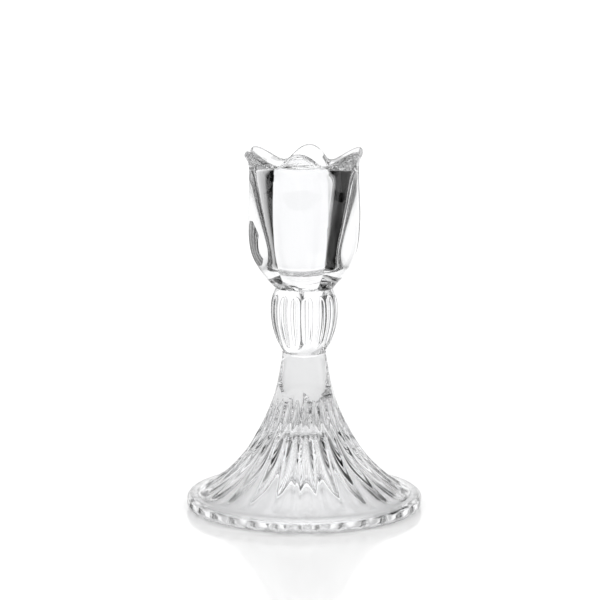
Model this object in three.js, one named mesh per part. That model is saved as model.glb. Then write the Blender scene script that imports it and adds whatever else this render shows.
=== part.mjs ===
// A pressed-glass candlestick for one taper candle: a six-petalled tulip cup with a deep candle socket, a knop
// with sixteen thumb flutes, and a hollow bell foot with twenty-four long flutes and a plain thick rim.
// The three were pressed in their own moulds and joined hot, each standing on the flat end of the next.
// Millimetres, +Z up. The origin is the centre of the foot's resting face, and a petal's middle faces -Y.
import * as THREE from "three";

// Driving dimensions
const HEIGHT = 130; // to the petal tips
const FOOT_RADIUS = 42.7;
const RIM_THICKNESS = 5.3; // of the foot's plain rim
const RIM_ROUND = 2.2; // radius of its two rounded edges
const SOCKET_MOUTH_RADIUS = 14.5; // the socket narrows downward to grip a 22 mm candle
const SOCKET_FLOOR_RADIUS = 10.9;
const SOCKET_FLOOR = 87.5; // height of the flat that the candle stands on
const SOCKET_FILLET = 3.8; // round where the socket's wall meets its floor
const NECK = 80.2; // height of the joint between the cup and the knop
const WAIST = 56.7; // height of the joint between the knop and the foot
const NECK_RADIUS = 10.6;
const WAIST_RADIUS = 7.5;
const JOINT_GAP = 0.3; // between the sections

const PETALS = 6;
const KNOP_FLUTES = 16;
const FOOT_FLUTES = 24;

const FULL_TURN = 2 * Math.PI;

const glass = (name) =>
  new THREE.MeshStandardMaterial({
    name,
    color: 0xf6f8f9,
    roughness: 0.02,
    metalness: 0,
    transparent: true,
    opacity: 0.35,
  });

const at = (radius, height) => new THREE.Vector2(radius, height);

// Points on a quarter circle about a centre, turning from one angle in degrees to another.
function arc(centre, radius, from, to) {
  const steps = 2;
  return Array.from({ length: steps + 1 }, (_, step) => {
    const angle = THREE.MathUtils.degToRad(from + ((to - from) * step) / steps);
    return at(centre.x + radius * Math.cos(angle), centre.y + radius * Math.sin(angle));
  });
}

// A smooth outline through the points, with the same number of steps between each two of them.
const curve = (points, steps) => new THREE.SplineCurve(points).getPoints(steps * (points.length - 1));

// How far the angle is from the middle of the nearest of count repeats: 0 there, 1 or -1 half-way to the next.
function share(angle, count) {
  const turns = (angle * count) / FULL_TURN;
  return 2 * (turns - Math.round(turns));
}

// A solid turned about +Z whose outline changes round the axis. section(angle) gives the outline at an angle
// from -Y: upward on the outside, from the axis or round to the axis, with the same number of points each time.
function turned(name, section, segments) {
  const rows = section(0).length;
  const geometry = new THREE.LatheGeometry(section(0), segments);
  const position = geometry.getAttribute("position");
  for (let turn = 0; turn <= segments; turn++) {
    const angle = (FULL_TURN * (turn % segments)) / segments;
    section(angle).forEach((p, row) =>
      position.setXYZ(turn * rows + row, p.x * Math.sin(angle), p.y, p.x * Math.cos(angle)),
    );
  }
  geometry.rotateX(Math.PI / 2);
  const mesh = new THREE.Mesh(geometry, glass(name));
  mesh.name = name;
  return mesh;
}

// Tulip cup. One outline runs up the middle of a petal, over its rolled tip and down the flared mouth, and the
// other runs up the groove between two petals and over the notch. Both end at the mouth of the socket.
const CUP_BASE = NECK + JOINT_GAP / 2;
const SOCKET_MOUTH = 123.4;
const PETAL_MIDDLE = [
  at(NECK_RADIUS, CUP_BASE),
  at(16.2, 86.4),
  at(20.1, 94.1),
  at(21, 105.5),
  at(20.5, 119.7),
  at(21.1, 125.9),
  at(22.9, 128.5),
  at(21.8, HEIGHT),
  at(18.6, 127.4),
  at(15.7, 125),
  at(SOCKET_MOUTH_RADIUS, SOCKET_MOUTH),
];
const PETAL_GROOVE = [
  at(NECK_RADIUS, CUP_BASE),
  at(14.8, 86.2),
  at(17.9, 94),
  at(19.1, 105.5),
  at(18.7, 118.8),
  at(18.3, 122.6),
  at(17.8, 124.3),
  at(16.9, 125.2),
  at(15.7, 125),
  at(14.9, 124.4),
  at(SOCKET_MOUTH_RADIUS, SOCKET_MOUTH),
];
const CUP_STEPS = 2;
const LAST_SIDE_POINT = 4; // up to this point the petals are plain lobes, and above it they curl into tips
const petalMiddle = curve(PETAL_MIDDLE, CUP_STEPS);
const petalGroove = curve(PETAL_GROOVE, CUP_STEPS);
const filletCentre = at(SOCKET_FLOOR_RADIUS - SOCKET_FILLET, SOCKET_FLOOR + SOCKET_FILLET);
const socket = [
  at(13.3, 109.5),
  at(SOCKET_FLOOR_RADIUS + 0.7, 96),
  ...arc(filletCentre, SOCKET_FILLET, 0, -90),
  at(0, SOCKET_FLOOR),
];

function cupSection(angle) {
  const across = share(angle, PETALS);
  const lobe = 1 - across * across;
  const tip = (1 + Math.cos(Math.PI * across)) / 2;
  const wall = petalMiddle.map((middle, row) => {
    const curl = THREE.MathUtils.smoothstep(row / CUP_STEPS, LAST_SIDE_POINT, LAST_SIDE_POINT + 2);
    return petalGroove[row].clone().lerp(middle, THREE.MathUtils.lerp(lobe, tip, curl));
  });
  return [at(0, CUP_BASE), ...wall, ...socket];
}

// Knop: a solid bead, widest above its middle, with a thumb flute cut between each two ribs.
const KNOP_BASE = WAIST + JOINT_GAP / 2;
const KNOP_TOP = NECK - JOINT_GAP / 2;
const KNOP_OUTLINE = [
  at(WAIST_RADIUS, KNOP_BASE),
  at(10.3, 62.1),
  at(11.9, 68.3),
  at(12, 74.8),
  at(NECK_RADIUS, KNOP_TOP),
];
const KNOP_FLUTE = { low: 59.3, lowEnd: 5, high: 78.3, highEnd: 2.6, depth: 0.8, width: 0.62 };

// Foot: a plain stem that flares into the fluted bell and ends on the rim. It is hollow from below.
const FOOT_TOP = WAIST - JOINT_GAP / 2;
const FOOT_OUTLINE = [
  at(38.2, RIM_THICKNESS + 0.3),
  at(30, 11.1),
  at(21.8, 19.6),
  at(14.8, 31.4),
  at(10.5, 42.7),
  at(8.3, 53.8),
  at(WAIST_RADIUS + 0.4, FOOT_TOP),
];
const FOOT_HOLLOW = [
  at(0, 27.6),
  at(6.5, 27.3),
  at(9.8, 25.6),
  at(12.4, 22),
  at(17.6, 15.8),
  at(27.6, 7.5),
  at(37.3, 0),
];
const FOOT_FLUTE = { low: 5.6, lowEnd: 1.6, high: 40.5, highEnd: 14, depth: 1.6, width: 0.85 };

// How deep a flute is at a height and a share of the way from its middle to the rib. It runs from low to high,
// and its ends are half ellipses lowEnd and highEnd long.
function fluteDepth({ low, lowEnd, high, highEnd, depth, width }, height, across) {
  const along = THREE.MathUtils.clamp(Math.min((height - low) / lowEnd, (high - height) / highEnd), 0, 1);
  const end = along * (2 - along);
  return depth * Math.max(0, end - (across / width) ** 2);
}

function knopSection(angle) {
  const across = 1 - Math.abs(share(angle, KNOP_FLUTES)); // a rib faces -Y
  const side = curve(KNOP_OUTLINE, 3).map((p) => at(p.x - fluteDepth(KNOP_FLUTE, p.y, across), p.y));
  return [at(0, KNOP_BASE), ...side, at(0, KNOP_TOP)];
}

function footSection(angle) {
  const across = 1 - Math.abs(share(angle, FOOT_FLUTES)); // a rib faces -Y
  const inner = FOOT_RADIUS - RIM_ROUND;
  const rim = [
    ...arc(at(inner, RIM_ROUND), RIM_ROUND, -90, 0),
    ...arc(at(inner, RIM_THICKNESS - RIM_ROUND), RIM_ROUND, 0, 90),
  ];
  const bell = curve(FOOT_OUTLINE, 2).map((p) => at(p.x - fluteDepth(FOOT_FLUTE, p.y, across), p.y));
  return [...curve(FOOT_HOLLOW, 2), ...rim, ...bell, at(0, FOOT_TOP)];
}

const candlestick = new THREE.Group();
candlestick.add(
  turned("tulip_cup", cupSection, PETALS * 12),
  turned("fluted_knop", knopSection, KNOP_FLUTES * 4),
  turned("bell_foot", footSection, FOOT_FLUTES * 4),
);

export default candlestick;
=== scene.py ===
# The looks of a pressed-glass candlestick: fine glass meshes of its three sections, a studio and a camera.
# The object's outlines are in millimetres, as in the part's source, and its surroundings are in metres.
import math

import bmesh
import bpy
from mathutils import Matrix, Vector


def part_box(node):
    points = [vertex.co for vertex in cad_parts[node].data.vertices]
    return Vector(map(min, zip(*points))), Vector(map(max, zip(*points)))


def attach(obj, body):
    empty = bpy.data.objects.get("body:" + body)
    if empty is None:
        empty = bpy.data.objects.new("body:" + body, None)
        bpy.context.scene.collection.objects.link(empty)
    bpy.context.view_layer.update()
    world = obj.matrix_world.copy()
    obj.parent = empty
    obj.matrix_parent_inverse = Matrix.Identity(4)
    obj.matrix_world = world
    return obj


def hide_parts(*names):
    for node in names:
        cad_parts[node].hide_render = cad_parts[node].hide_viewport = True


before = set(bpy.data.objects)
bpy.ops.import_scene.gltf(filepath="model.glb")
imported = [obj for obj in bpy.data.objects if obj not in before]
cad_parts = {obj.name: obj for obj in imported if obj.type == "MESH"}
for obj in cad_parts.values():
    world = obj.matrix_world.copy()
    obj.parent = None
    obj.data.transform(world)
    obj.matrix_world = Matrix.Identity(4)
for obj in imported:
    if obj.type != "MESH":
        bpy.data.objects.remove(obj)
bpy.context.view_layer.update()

MM = 0.001
FULL_TURN = 2 * math.pi

# ---------------------------------------------------------------- dimensions, in mm
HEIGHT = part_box("tulip_cup")[1][2] / MM
NECK = (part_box("tulip_cup")[0][2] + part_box("fluted_knop")[1][2]) / 2 / MM
WAIST = (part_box("fluted_knop")[0][2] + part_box("bell_foot")[1][2]) / 2 / MM
FOOT_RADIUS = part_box("bell_foot")[1][0] / MM
NECK_RADIUS = 10.6
WAIST_RADIUS = 7.5
RIM_THICKNESS = 5.3
RIM_ROUND = 2.2
SOCKET_MOUTH = 123.4
SOCKET_MOUTH_RADIUS = 14.5
SOCKET_FLOOR = 87.5
SOCKET_FLOOR_RADIUS = 10.9
SOCKET_FILLET = 3.8

PETALS = 6
KNOP_FLUTES = 16
FOOT_FLUTES = 24


# ---------------------------------------------------------------- outlines
def curve(points, steps):
    """A smooth outline through the points, with the same number of steps between each two of them."""
    ends = [points[0], *points, points[-1]]
    result = []
    for before, start, end, after in zip(ends, ends[1:], ends[2:], ends[3:]):
        start_slope = [(e - b) / 2 for b, e in zip(before, end)]
        end_slope = [(a - s) / 2 for s, a in zip(start, after)]
        for step in range(steps):
            t = step / steps
            result.append(tuple(
                (2 * s - 2 * e + u + v) * t**3 + (3 * e - 3 * s - 2 * u - v) * t**2 + u * t + s
                for s, e, u, v in zip(start, end, start_slope, end_slope)
            ))
    return [*result, points[-1]]


def arc(centre_radius, centre_height, radius, start, end, steps):
    """Points on part of a circle, turning from one angle in degrees to another."""
    angles = [math.radians(start + (end - start) * step / steps) for step in range(steps + 1)]
    return [(centre_radius + radius * math.cos(a), centre_height + radius * math.sin(a)) for a in angles]


def share(angle, count):
    """How far the angle is from the middle of the nearest of count repeats: 0 there, 1 or -1 half-way on."""
    turns = angle * count / FULL_TURN
    return 2 * (turns - round(turns))


def smoothstep(value, low, high):
    """0 up to low, 1 from high on, and a smooth rise between them."""
    t = min(1, max(0, (value - low) / (high - low)))
    return t * t * (3 - 2 * t)


def soft_positive(value, width):
    """The value where it is well above 0, nearly 0 well below it, and a bend about width wide between."""
    return (value + math.sqrt(value * value + width * width)) / 2


# ---------------------------------------------------------------- meshes
CREASE = math.radians(40)  # edges that turn more than this stay sharp


def turned(name, section, segments):
    """A closed solid turned about +Z. section(angle) gives the outline at an angle from -Y, axis to axis."""
    angles = [FULL_TURN * turn / segments for turn in range(segments)]
    mesh = bmesh.new()
    rings = []
    for row in zip(*[section(angle) for angle in angles]):
        if row[0][0] == 0:  # on the axis, where the ring is one point
            rings.append([mesh.verts.new((0, 0, row[0][1] * MM))])
            continue
        rings.append([
            mesh.verts.new((radius * math.sin(angle) * MM, -radius * math.cos(angle) * MM, height * MM))
            for angle, (radius, height) in zip(angles, row)
        ])
    for first, second in zip(rings, rings[1:]):
        for turn in range(segments):
            following = (turn + 1) % segments
            if len(first) == 1:
                mesh.faces.new((first[0], second[following], second[turn]))
            elif len(second) == 1:
                mesh.faces.new((first[turn], first[following], second[0]))
            else:
                mesh.faces.new((first[turn], first[following], second[following], second[turn]))
    data = bpy.data.meshes.new(name)
    mesh.to_mesh(data)
    mesh.free()
    data.shade_smooth()
    data.set_sharp_from_angle(angle=CREASE)
    piece = bpy.data.objects.new(name, data)
    bpy.context.scene.collection.objects.link(piece)
    return piece


# ---------------------------------------------------------------- tulip cup
# One outline runs up the middle of a petal, over its tip and down the flared mouth. The other runs up the
# groove between two petals and over the notch.
PETAL_MIDDLE = [
    (NECK_RADIUS, NECK),
    (16.2, 86.4),
    (20.1, 94.1),
    (21, 105.5),
    (20.5, 119.7),
    (21.1, 125.9),
    (22.9, 128.5),
    (21.8, HEIGHT),
    (18.6, 127.4),
    (15.7, 125),
    (SOCKET_MOUTH_RADIUS, SOCKET_MOUTH),
]
PETAL_GROOVE = [
    (NECK_RADIUS, NECK),
    (14.8, 86.2),
    (17.9, 94),
    (19.1, 105.5),
    (18.7, 118.8),
    (18.3, 122.6),
    (17.8, 124.3),
    (16.9, 125.2),
    (15.7, 125),
    (14.9, 124.4),
    (SOCKET_MOUTH_RADIUS, SOCKET_MOUTH),
]
SOCKET_WALL = [
    (SOCKET_MOUTH_RADIUS, SOCKET_MOUTH),
    (13.3, 109.5),
    (SOCKET_FLOOR_RADIUS + 0.7, 96),
    (SOCKET_FLOOR_RADIUS, SOCKET_FLOOR + SOCKET_FILLET),
]
FLAT_RADIUS = SOCKET_FLOOR_RADIUS - SOCKET_FILLET
FLAT_RING = 5.9  # a ring of points on the socket's flat, which keeps the fillet's shading off it
LAST_SIDE_POINT = 4  # up to this point the petals are plain lobes
CURL_POINTS = 2  # and over this many more they curl into tips
CUP_STEPS = 10
SEGMENTS_PER_PETAL = 48
petal_middle = curve(PETAL_MIDDLE, CUP_STEPS)
petal_groove = curve(PETAL_GROOVE, CUP_STEPS)
socket_outline = [
    *curve(SOCKET_WALL, CUP_STEPS)[1:-1],
    *arc(FLAT_RADIUS, SOCKET_FLOOR + SOCKET_FILLET, SOCKET_FILLET, 0, -90, CUP_STEPS),
    (FLAT_RING, SOCKET_FLOOR),
    (0, SOCKET_FLOOR),
]


def cup_section(angle):
    across = share(angle, PETALS)
    lobe = 1 - across * across
    tip = (1 + math.cos(math.pi * across)) / 2
    wall = []
    for row, (middle, groove) in enumerate(zip(petal_middle, petal_groove)):
        curl = smoothstep(row / CUP_STEPS, LAST_SIDE_POINT, LAST_SIDE_POINT + CURL_POINTS)
        weight = lobe + (tip - lobe) * curl
        wall.append(tuple(g + (m - g) * weight for m, g in zip(middle, groove)))
    return [(0, NECK), *wall, *socket_outline]


# ---------------------------------------------------------------- flutes
# A flute runs from low to high and is depth deep. Its ends are half ellipses low_end and high_end long, and
# width is the share of the way from its middle to the rib that it takes up. softness rounds its edges.
KNOP_FLUTE = {
    "low": 59.3, "low_end": 5, "high": 78.3, "high_end": 2.6, "depth": 0.8, "width": 0.62, "softness": 0.28,
}
FOOT_FLUTE = {
    "low": 5.6, "low_end": 1.6, "high": 40.5, "high_end": 14, "depth": 1.6, "width": 0.85, "softness": 0.03,
}


def flute_depth(flute, height, across):
    """How deep a flute is at a height and a share of the way from its middle to the rib."""
    low = (height - flute["low"]) / flute["low_end"]
    high = (flute["high"] - height) / flute["high_end"]
    along = min(1, max(0, min(low, high)))
    end = along * (2 - along)
    below = end - (across / flute["width"]) ** 2
    return flute["depth"] * soft_positive(below, flute["softness"] * end)


def fluted(outline, flute, angle, count):
    """The outline with its flutes cut in, at an angle. A rib faces -Y."""
    across = 1 - abs(share(angle, count))
    return [(radius - flute_depth(flute, height, across), height) for radius, height in outline]


# ---------------------------------------------------------------- knop
KNOP_OUTLINE = [(WAIST_RADIUS, WAIST), (10.3, 62.1), (11.9, 68.3), (12, 74.8), (NECK_RADIUS, NECK)]
KNOP_STEPS = 24
SEGMENTS_PER_KNOP_FLUTE = 24


def knop_section(angle):
    side = fluted(curve(KNOP_OUTLINE, KNOP_STEPS), KNOP_FLUTE, angle, KNOP_FLUTES)
    return [(0, WAIST), *side, (0, NECK)]


# ---------------------------------------------------------------- foot
FOOT_OUTLINE = [
    (38.2, RIM_THICKNESS + 0.3),
    (30, 11.1),
    (21.8, 19.6),
    (14.8, 31.4),
    (10.5, 42.7),
    (8.3, 53.8),
    (WAIST_RADIUS + 0.4, WAIST),
]
RESTING_RADIUS = 37.3  # where the hollow ends and the ring that stands on the table begins
FOOT_HOLLOW = [
    (0, 27.6),
    (6.5, 27.3),
    (9.8, 25.6),
    (12.4, 22),
    (17.6, 15.8),
    (27.6, 7.5),
    (RESTING_RADIUS, 0),
]
FOOT_STEPS = 16
HOLLOW_STEPS = 12
RIM_STEPS = 8
SEGMENTS_PER_FOOT_FLUTE = 16


def foot_section(angle):
    inner = FOOT_RADIUS - RIM_ROUND
    rim = [
        *arc(inner, RIM_ROUND, RIM_ROUND, -90, 0, RIM_STEPS),
        *arc(inner, RIM_THICKNESS - RIM_ROUND, RIM_ROUND, 0, 90, RIM_STEPS),
    ]
    bell = fluted(curve(FOOT_OUTLINE, FOOT_STEPS), FOOT_FLUTE, angle, FOOT_FLUTES)
    return [*curve(FOOT_HOLLOW, HOLLOW_STEPS), *rim, *bell, (0, WAIST)]


# ---------------------------------------------------------------- shader nodes
def maths(tree, operation, *values):
    """A math node. Each value is a number or another node's output."""
    node = tree.nodes.new("ShaderNodeMath")
    node.operation = operation
    for entry, value in zip(node.inputs, values):
        if isinstance(value, (int, float)):
            entry.default_value = value
        else:
            tree.links.new(value, entry)
    return node.outputs[0]


def product(tree, first, *others):
    for other in others:
        first = maths(tree, "MULTIPLY", first, other)
    return first


def mixed(tree, factor, first, second):
    """first where the factor is 0, second where it is 1."""
    change = maths(tree, "SUBTRACT", second, first)
    return maths(tree, "ADD", first, maths(tree, "MULTIPLY", factor, change))


def fade(tree, value, start, end, start_shade, end_shade):
    """One shade up to start, the other from end on, and a smooth change between them."""
    node = tree.nodes.new("ShaderNodeMapRange")
    node.interpolation_type = "SMOOTHSTEP"
    node.inputs["From Min"].default_value = start
    node.inputs["From Max"].default_value = end
    node.inputs["To Min"].default_value = start_shade
    node.inputs["To Max"].default_value = end_shade
    tree.links.new(value, node.inputs["Value"])
    return node.outputs[0]


def coordinates(tree, kind):
    return tree.nodes.new("ShaderNodeTexCoord").outputs[kind]


def x_y_z(tree, place):
    split = tree.nodes.new("ShaderNodeSeparateXYZ")
    tree.links.new(place, split.inputs[0])
    return split.outputs


def from_axis(tree, x, y):
    """The distance from the object's axis."""
    squares = [maths(tree, "POWER", side, 2) for side in (x, y)]
    return maths(tree, "SQRT", maths(tree, "ADD", *squares))


def noise(tree, place, scale, detail):
    node = tree.nodes.new("ShaderNodeTexNoise")
    node.inputs["Scale"].default_value = scale
    node.inputs["Detail"].default_value = detail
    tree.links.new(place, node.inputs["Vector"])
    return node.outputs[0]


def ramp(tree, value, stops):
    """A colour ramp. Each stop is its place from 0 to 1 and its colour."""
    node = tree.nodes.new("ShaderNodeValToRGB")
    tree.links.new(value, node.inputs[0])
    elements = node.color_ramp.elements
    while len(elements) < len(stops):
        elements.new(0.5)  # the loop below moves it to its place
    for element, (place, colour) in zip(elements, stops):
        element.position = place
        element.color = (*colour, 1)
    return node.outputs[0]


# ---------------------------------------------------------------- glass
GLASS_IOR = 1.52
RIPPLE_HEIGHT = 0.07 * MM
RIPPLES_PER_METRE = 110
RIPPLE_DETAIL = 2
RIPPLE_STRETCH = 0.4  # upward scale of the ripple and the cords, which draws them out
CORDS_PER_METRE = 60
CORD_DETAIL = 4
CORD_TINTS = [(0.35, (0.975, 0.978, 0.986)), (0.65, (0.99, 0.992, 0.996))]
SCUFFS_PER_METRE = 900
SCUFF_DETAIL = 6
SCUFFED_ABOVE = 0.52  # of the noise, so that less than half of the ring is scuffed
SCUFF_ROUGHNESS = 0.25
SCUFF_REACH = 0.05 * MM  # how far above or below its level a ring still counts as worn
CAP_REACH = 0.001 * MM  # how far from a joint's level a face still counts as the joint


def scuffs(tree, place, height, inner, outer):
    """Roughness of the fine wear on a level ring, given in mm. It is exactly 0 everywhere else."""
    x, y, z = x_y_z(tree, place)
    away = from_axis(tree, x, y)
    return product(
        tree,
        maths(tree, "COMPARE", z, height * MM, SCUFF_REACH),
        maths(tree, "GREATER_THAN", away, inner * MM),
        maths(tree, "LESS_THAN", away, outer * MM),
        maths(tree, "GREATER_THAN", noise(tree, place, SCUFFS_PER_METRE, SCUFF_DETAIL), SCUFFED_ABOVE),
        SCUFF_ROUGHNESS,
    )


def glass_material(name, worn_ring=None):
    """Clear pressed glass with a faint ripple from the mould, faint cords, and wear if a ring is given."""
    material = bpy.data.materials.new(name)
    material.use_nodes = True
    tree = material.node_tree
    shader = tree.nodes["Principled BSDF"]
    shader.inputs["Transmission Weight"].default_value = 1
    shader.inputs["IOR"].default_value = GLASS_IOR
    shader.inputs["Roughness"].default_value = 0
    place = coordinates(tree, "Object")
    if worn_ring:
        tree.links.new(scuffs(tree, place, *worn_ring), shader.inputs["Roughness"])

    drawn_up = tree.nodes.new("ShaderNodeMapping")
    drawn_up.inputs["Scale"].default_value = (1, 1, RIPPLE_STRETCH)
    tree.links.new(place, drawn_up.inputs["Vector"])
    ripple = tree.nodes.new("ShaderNodeBump")
    ripple.inputs["Strength"].default_value = 1
    ripple.inputs["Distance"].default_value = RIPPLE_HEIGHT
    heights = noise(tree, drawn_up.outputs[0], RIPPLES_PER_METRE, RIPPLE_DETAIL)
    tree.links.new(heights, ripple.inputs["Height"])
    tree.links.new(ripple.outputs[0], shader.inputs["Normal"])
    cords = ramp(tree, noise(tree, drawn_up.outputs[0], CORDS_PER_METRE, CORD_DETAIL), CORD_TINTS)
    tree.links.new(cords, shader.inputs["Base Color"])
    return material


def joint_material():
    """The faces where two sections meet. They melted together, so nothing of them is seen."""
    material = bpy.data.materials.new("melted_joint")
    material.use_nodes = True
    shader = material.node_tree.nodes["Principled BSDF"]
    shader.inputs["Alpha"].default_value = 0
    shader.inputs["IOR"].default_value = 1
    return material


melted_joint = joint_material()


def finish_piece(piece, node, glass, joint_heights):
    """Put a piece in its node's place, in glass, with its faces at the joints' heights made invisible."""
    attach(piece, "root")
    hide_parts(node)
    piece.data.materials.append(glass)
    piece.data.materials.append(melted_joint)
    for polygon in piece.data.polygons:
        if any(abs(polygon.center.z - height * MM) < CAP_REACH for height in joint_heights):
            polygon.material_index = 1


cup_glass = glass_material("cup_glass", (SOCKET_FLOOR, 0, FLAT_RADIUS))
knop_glass = glass_material("knop_glass")
foot_glass = glass_material("foot_glass", (0, RESTING_RADIUS, FOOT_RADIUS - RIM_ROUND))
cup = turned("tulip_cup_glass", cup_section, PETALS * SEGMENTS_PER_PETAL)
knop = turned("fluted_knop_glass", knop_section, KNOP_FLUTES * SEGMENTS_PER_KNOP_FLUTE)
foot = turned("bell_foot_glass", foot_section, FOOT_FLUTES * SEGMENTS_PER_FOOT_FLUTE)
finish_piece(cup, "tulip_cup", cup_glass, [NECK])
finish_piece(knop, "fluted_knop", knop_glass, [NECK, WAIST])
finish_piece(foot, "bell_foot", foot_glass, [WAIST])

# ---------------------------------------------------------------- surroundings
# Everything round the object is plain white, except to light that came through sharp glass. That light sees
# dark cards, a dimmer ceiling with a bright patch, and painted light and shade on the floor.
# No real studio can do this.
# It gives the glass its dark bands, and it depends on the light's way through the glass, not on the camera.
scene = bpy.context.scene
WHITE = 1.3  # how bright the studio is to all other light
CEILING = 0.55  # the ceiling's shade, as a share of the cards'
STUDIO_CEILING = (0.1, 0.5)  # from where to where it sets in, as the upward part of the light's direction
TENT_CEILING = (0.1, 0.2)  # the same on the tent, as heights
OVERHEAD = 1.1  # the patch straight above
OVERHEAD_FROM_TO = (0.75, 0.88)  # as the upward part of the light's direction
TENT_RADIUS = 0.16
TENT_HEIGHT = 0.15
TENT_SIDES = 96
TENT_LOWER_EDGE = 0.5 * MM
FLOOR_HALF_SIDE = 4
FLOOR_LEVEL = -0.05 * MM
FLOOR_ROUGHNESS = 0.12
FLOOR_IOR = 1.8
FLOOR_SHADE = 0.8
FLOOR_PAINTED_LIGHT_UNDER_FOOT = 1.0  # painted light under the foot, and the next is painted shade beyond it; only light bent by the glass sees them
FLOOR_PAINTED_SHADE_BEYOND = 0.62
UNDER_TO_BEYOND = (0.7 * FOOT_RADIUS * MM, 1.05 * FOOT_RADIUS * MM)  # from where to where it changes

# Shades at azimuths in degrees, from straight behind the object towards its right. The first list is for
# light that was only bent on its way through the glass, and the others are for light also mirrored in it.
BENT_SHADES = [
    (-180, 1.14), (-79, 1.14), (-73, 0.05), (-65, 0.05), (-59, 1.14), (28, 1.14), (40, 0.03), (78, 0.03),
    (86, 0.8), (100, 0.8), (112, 1.14), (180, 1.14),
]
MIRRORED_SHADES = [
    (-180, 0.04), (-112, 0.04), (-102, 0.35), (-86, 0.25), (-78, 0), (-66, 0), (-60, 0.4), (-45, 0.8),
    (-30, 1.1), (-20, 1.1), (20, 1.1), (32, 0.8), (43, 0), (79, 0), (86, 0.7), (100, 0.7),
    (112, 0.04), (180, 0.04),
]
# Painted shade on the floor: dark sectors in its colour, seen only by light mirrored in the glass
FLOOR_PAINTED_MIRRORED_SHADES = [
    (-180, 0.8), (-120, 0.8), (-110, 0.03), (-95, 0.03), (-85, 0.8), (-50, 0.8), (-42, 0.03), (-30, 0.03),
    (-22, 0.8), (28, 0.8), (38, 0.02), (62, 0.02), (70, 0.8), (110, 0.8), (118, 0.03), (135, 0.03),
    (145, 0.8), (180, 0.8),
]


def shades_round(tree, x, y, shades):
    """The shade at a point's azimuth round the object."""
    turn = maths(tree, "ADD", maths(tree, "DIVIDE", maths(tree, "ARCTAN2", x, y), FULL_TURN), 0.5)
    return ramp(tree, turn, [((degrees + 180) / 360, (shade, shade, shade)) for degrees, shade in shades])


def light_path(tree):
    """Two outputs, each 1 or 0: whether the light was mirrored on its way, and whether its last turn was in
    sharp glass and no dull surface scattered it."""
    path = tree.nodes.new("ShaderNodeLightPath")
    is_mirrored = maths(tree, "MINIMUM", path.outputs["Glossy Depth"], 1)
    is_undiffused = maths(tree, "LESS_THAN", path.outputs["Diffuse Depth"], 1)
    return is_mirrored, maths(tree, "MULTIPLY", is_undiffused, path.outputs["Is Singular Ray"])


def cards(tree, is_mirrored, x, y, z, ceiling):
    """The cards and the dimmer ceiling."""
    bent = shades_round(tree, x, y, BENT_SHADES)
    shade = mixed(tree, is_mirrored, bent, shades_round(tree, x, y, MIRRORED_SHADES))
    return maths(tree, "MULTIPLY", shade, fade(tree, z, *ceiling, 1, CEILING))


def white_studio():
    world = bpy.data.worlds.new("white_studio")
    world.use_nodes = True
    tree = world.node_tree
    x, y, z = x_y_z(tree, coordinates(tree, "Generated"))
    is_mirrored, is_sharp = light_path(tree)
    overhead = fade(tree, z, *OVERHEAD_FROM_TO, 0, 1)
    through_glass = mixed(tree, overhead, cards(tree, is_mirrored, x, y, z, STUDIO_CEILING), OVERHEAD)
    background = tree.nodes["Background"]
    background.inputs["Color"].default_value = (1, 1, 1, 1)
    tree.links.new(mixed(tree, is_sharp, WHITE, through_glass), background.inputs["Strength"])
    scene.world = world


def paper_tent():
    """Paper close round the glass, which only the light that has gone through the glass sees."""
    turns = [FULL_TURN * side / TENT_SIDES for side in range(TENT_SIDES)]
    corners = [
        (TENT_RADIUS * math.sin(turn), TENT_RADIUS * math.cos(turn), height)
        for height in (TENT_LOWER_EDGE, TENT_HEIGHT) for turn in turns
    ]
    faces = []
    for side in range(TENT_SIDES):
        following = (side + 1) % TENT_SIDES
        faces.append((side, following, TENT_SIDES + following, TENT_SIDES + side))
    data = bpy.data.meshes.new("paper_tent")
    data.from_pydata(corners, [], faces)
    tent = bpy.data.objects.new("paper_tent", data)
    scene.collection.objects.link(tent)
    tent.visible_camera = False
    tent.visible_diffuse = False
    tent.visible_glossy = False
    tent.visible_shadow = False

    material = bpy.data.materials.new("paper_tent")
    material.use_nodes = True
    tree = material.node_tree
    tree.nodes.clear()
    x, y, z = x_y_z(tree, coordinates(tree, "Object"))
    is_mirrored, is_sharp = light_path(tree)
    through_glass = cards(tree, is_mirrored, x, y, z, TENT_CEILING)
    glow = tree.nodes.new("ShaderNodeEmission")
    tree.links.new(mixed(tree, is_sharp, WHITE, through_glass), glow.inputs["Strength"])
    tree.links.new(glow.outputs[0], tree.nodes.new("ShaderNodeOutputMaterial").inputs[0])
    data.materials.append(material)


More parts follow.
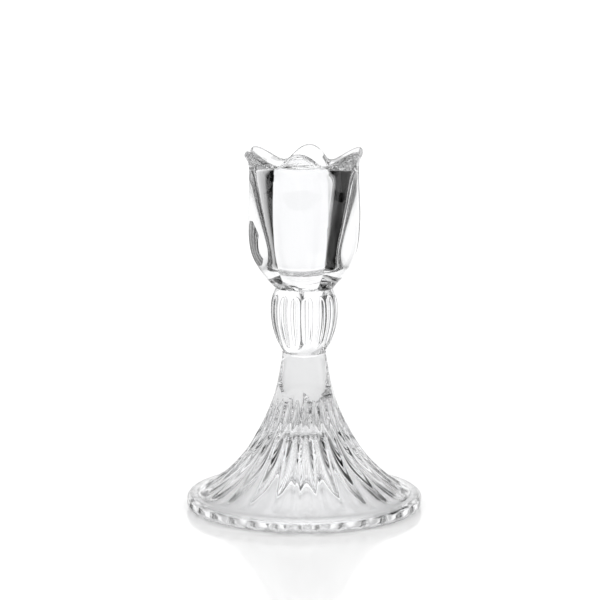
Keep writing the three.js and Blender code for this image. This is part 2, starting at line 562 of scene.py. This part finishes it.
def acrylic_floor():
    """A plain white sheet with a faint reflection; seen through the glass, it has painted light and shade.
    """
    side = FLOOR_HALF_SIDE
    corners = [(-side, -side, 0), (side, -side, 0), (side, side, 0), (-side, side, 0)]
    data = bpy.data.meshes.new("floor")
    data.from_pydata(corners, [], [range(4)])
    floor = bpy.data.objects.new("floor", data)
    scene.collection.objects.link(floor)
    floor.location.z = FLOOR_LEVEL

    material = bpy.data.materials.new("white_acrylic_painted_light_and_shade")
    material.use_nodes = True
    tree = material.node_tree
    x, y, _ = x_y_z(tree, coordinates(tree, "Object"))
    is_mirrored, is_sharp = light_path(tree)
    # Painted light under the foot, fading to painted shade beyond it, in the floor's colour for light bent
    # by the glass
    bent = fade(tree, from_axis(tree, x, y), *UNDER_TO_BEYOND, FLOOR_PAINTED_LIGHT_UNDER_FOOT, FLOOR_PAINTED_SHADE_BEYOND)
    # painted dark sectors of shade for light mirrored in the glass; all other light sees the even
    # FLOOR_SHADE
    through_glass = mixed(tree, is_mirrored, bent, shades_round(tree, x, y, FLOOR_PAINTED_MIRRORED_SHADES))
    shader = tree.nodes["Principled BSDF"]
    shader.inputs["Roughness"].default_value = FLOOR_ROUGHNESS
    shader.inputs["IOR"].default_value = FLOOR_IOR
    tree.links.new(mixed(tree, is_sharp, FLOOR_SHADE, through_glass), shader.inputs["Base Color"])
    data.materials.append(material)


white_studio()
paper_tent()
acrylic_floor()

# ---------------------------------------------------------------- camera
VIEW_ANGLE = math.radians(15.579)
CAMERA_DISTANCE = 0.7895
CAMERA_PITCH = math.radians(8.77)  # how far it looks down
CAMERA_AZIMUTH = math.radians(5.1)  # how far it stands round to the object's right
AIM_HEIGHT = 0.0756
SIDE_STEP = 0.00155  # how far it aims to the left of the axis
LIGHT_BOUNCES = 24
GLOSSY_BOUNCES = 12
camera = bpy.data.objects.new("camera", bpy.data.cameras.new("camera"))
scene.collection.objects.link(camera)
camera.data.angle = VIEW_ANGLE
forward = Vector((
    -math.sin(CAMERA_AZIMUTH) * math.cos(CAMERA_PITCH),
    math.cos(CAMERA_AZIMUTH) * math.cos(CAMERA_PITCH),
    -math.sin(CAMERA_PITCH),
))
right = Vector((math.cos(CAMERA_AZIMUTH), math.sin(CAMERA_AZIMUTH), 0))
aim = Vector((0, 0, AIM_HEIGHT)) - right * SIDE_STEP
camera.location = aim - forward * CAMERA_DISTANCE
camera.rotation_euler = forward.to_track_quat("-Z", "Y").to_euler()
scene.camera = camera

scene.view_settings.view_transform = "Standard"
scene.cycles.max_bounces = LIGHT_BOUNCES
scene.cycles.transmission_bounces = LIGHT_BOUNCES
scene.cycles.transparent_max_bounces = LIGHT_BOUNCES
scene.cycles.glossy_bounces = GLOSSY_BOUNCES
